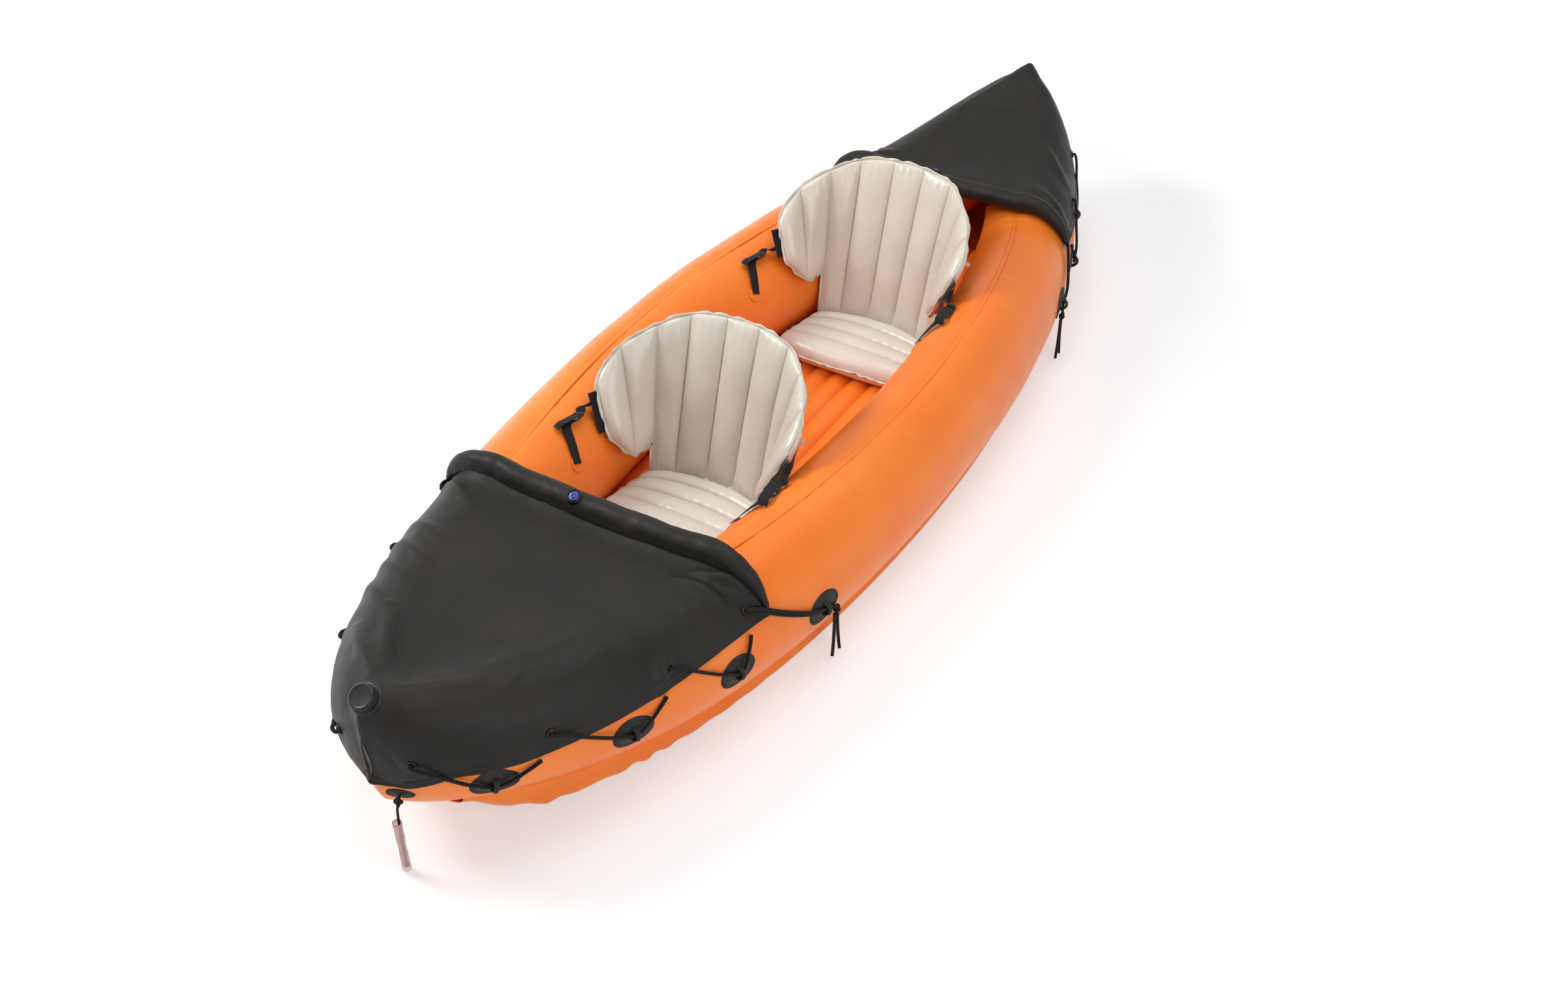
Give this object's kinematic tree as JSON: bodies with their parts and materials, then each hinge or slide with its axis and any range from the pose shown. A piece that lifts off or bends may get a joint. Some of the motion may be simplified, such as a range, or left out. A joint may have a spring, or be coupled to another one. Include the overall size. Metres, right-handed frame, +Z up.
{
  "type": "inflatable tandem kayak",
  "caption": "Inflatable two-seat kayak: side chambers round a ridged air floor, laced spray covers with inflated coamings, and strapped air seats whose backrests recline.",
  "frame": {"origin": "on the ground under the middle of the boat", "axes": "+Y towards the stern, +X towards port, +Z up"},
  "size_m": [1.07, 3.1909, 0.5538],
  "materials": {
    "hull_vinyl": "satin orange vinyl",
    "cover_vinyl": "matt charcoal vinyl",
    "black_rubber": "moulded black rubber",
    "black_plastic": "moulded black plastic",
    "black_cord": "twisted black cord",
    "seat_vinyl": "satin warm grey vinyl",
    "webbing": "woven black webbing",
    "clear_vinyl": "clear soft vinyl",
    "plug_plastic": "tinted clear plastic"
  },
  "bodies": {
    "hull": {"port_side_chamber": "hull_vinyl", "starboard_side_chamber": "hull_vinyl", "floor_chamber": "hull_vinyl", "bottom_panel": "hull_vinyl", "port_seam_tape": "hull_vinyl", "starboard_seam_tape": "hull_vinyl", "bow_cover": "cover_vinyl", "stern_cover": "cover_vinyl", "bow_coaming": "cover_vinyl", "stern_coaming": "cover_vinyl", "bow_eyelets": "black_plastic", "stern_eyelets": "black_plastic", "port_bow_patches": "black_rubber", "starboard_bow_patches": "black_rubber", "port_stern_patches": "black_rubber", "starboard_stern_patches": "black_rubber", "port_bow_lacing": "black_cord", "starboard_bow_lacing": "black_cord", "port_stern_lacing": "black_cord", "starboard_stern_lacing": "black_cord", "port_bow_lace_tails": "black_cord", "port_stern_lace_tails": "black_cord", "bow_grab_patch": "black_rubber", "bow_grab_cord": "black_cord", "bow_grab_sleeve": "clear_vinyl", "nose_valve_base": "black_plastic", "floor_valve_base": "black_plastic", "port_valve_base": "black_plastic", "starboard_valve_base": "black_plastic", "bow_coaming_valve": "black_plastic", "stern_coaming_valve": "black_plastic", "front_seat_base": "seat_vinyl", "front_port_anchor": "webbing", "front_starboard_anchor": "webbing", "rear_seat_base": "seat_vinyl", "rear_port_anchor": "webbing", "rear_starboard_anchor": "webbing", "front_port_buckle": "black_plastic", "front_starboard_buckle": "black_plastic", "rear_port_buckle": "black_plastic", "rear_starboard_buckle": "black_plastic"},
    "front_back": {"front_backrest": "seat_vinyl", "front_backrest_valve": "clear_vinyl", "front_port_strap": "webbing", "front_starboard_strap": "webbing"},
    "rear_back": {"rear_backrest": "seat_vinyl", "rear_backrest_valve": "clear_vinyl", "rear_port_strap": "webbing", "rear_starboard_strap": "webbing"},
    "nose_cap": {"nose_valve_cap": "black_plastic"},
    "floor_cap": {"floor_valve_cap": "black_plastic"},
    "port_cap": {"port_valve_cap": "black_plastic"},
    "starboard_cap": {"starboard_valve_cap": "black_plastic"},
    "bow_plug": {"bow_coaming_plug": "plug_plastic"},
    "stern_plug": {"stern_coaming_plug": "plug_plastic"}
  },
  "joints": [
    {"name": "front_backrest_recline", "type": "hinge", "parent": "hull", "child": "front_back", "pos_m": [0, -0.3, 0.1038], "axis": [-1, 0, 0], "range_deg": [0, 25]},
    {"name": "rear_backrest_recline", "type": "hinge", "parent": "hull", "child": "rear_back", "pos_m": [0, 0.58, 0.1038], "axis": [-1, 0, 0], "range_deg": [0, 15]},
    {"name": "nose_valve_twist", "type": "hinge", "parent": "hull", "child": "nose_cap", "pos_m": [0, -1.5566, 0.44079], "axis": [0, -0.5736, 0.8192], "range_deg": [0, 360]},
    {"name": "floor_valve_twist", "type": "hinge", "parent": "hull", "child": "floor_cap", "pos_m": [0, 0.83, 0.07172], "axis": [0, 0, 1], "range_deg": [0, 360]},
    {"name": "port_valve_twist", "type": "hinge", "parent": "hull", "child": "port_cap", "pos_m": [0.08644, 1.13611, 0.28779], "axis": [-0.8248, -0.3727, 0.4253], "range_deg": [0, 360]},
    {"name": "starboard_valve_twist", "type": "hinge", "parent": "hull", "child": "starboard_cap", "pos_m": [-0.08644, 1.13611, 0.28779], "axis": [0.8248, -0.3727, 0.4253], "range_deg": [0, 360]},
    {"name": "bow_plug_pull", "type": "slide", "parent": "hull", "child": "bow_plug", "axis": [0, -0.4695, 0.8829], "range_m": [0, 0.02]},
    {"name": "stern_plug_pull", "type": "slide", "parent": "hull", "child": "stern_plug", "axis": [0, 0.4695, 0.8829], "range_m": [0, 0.02]}
  ]
}
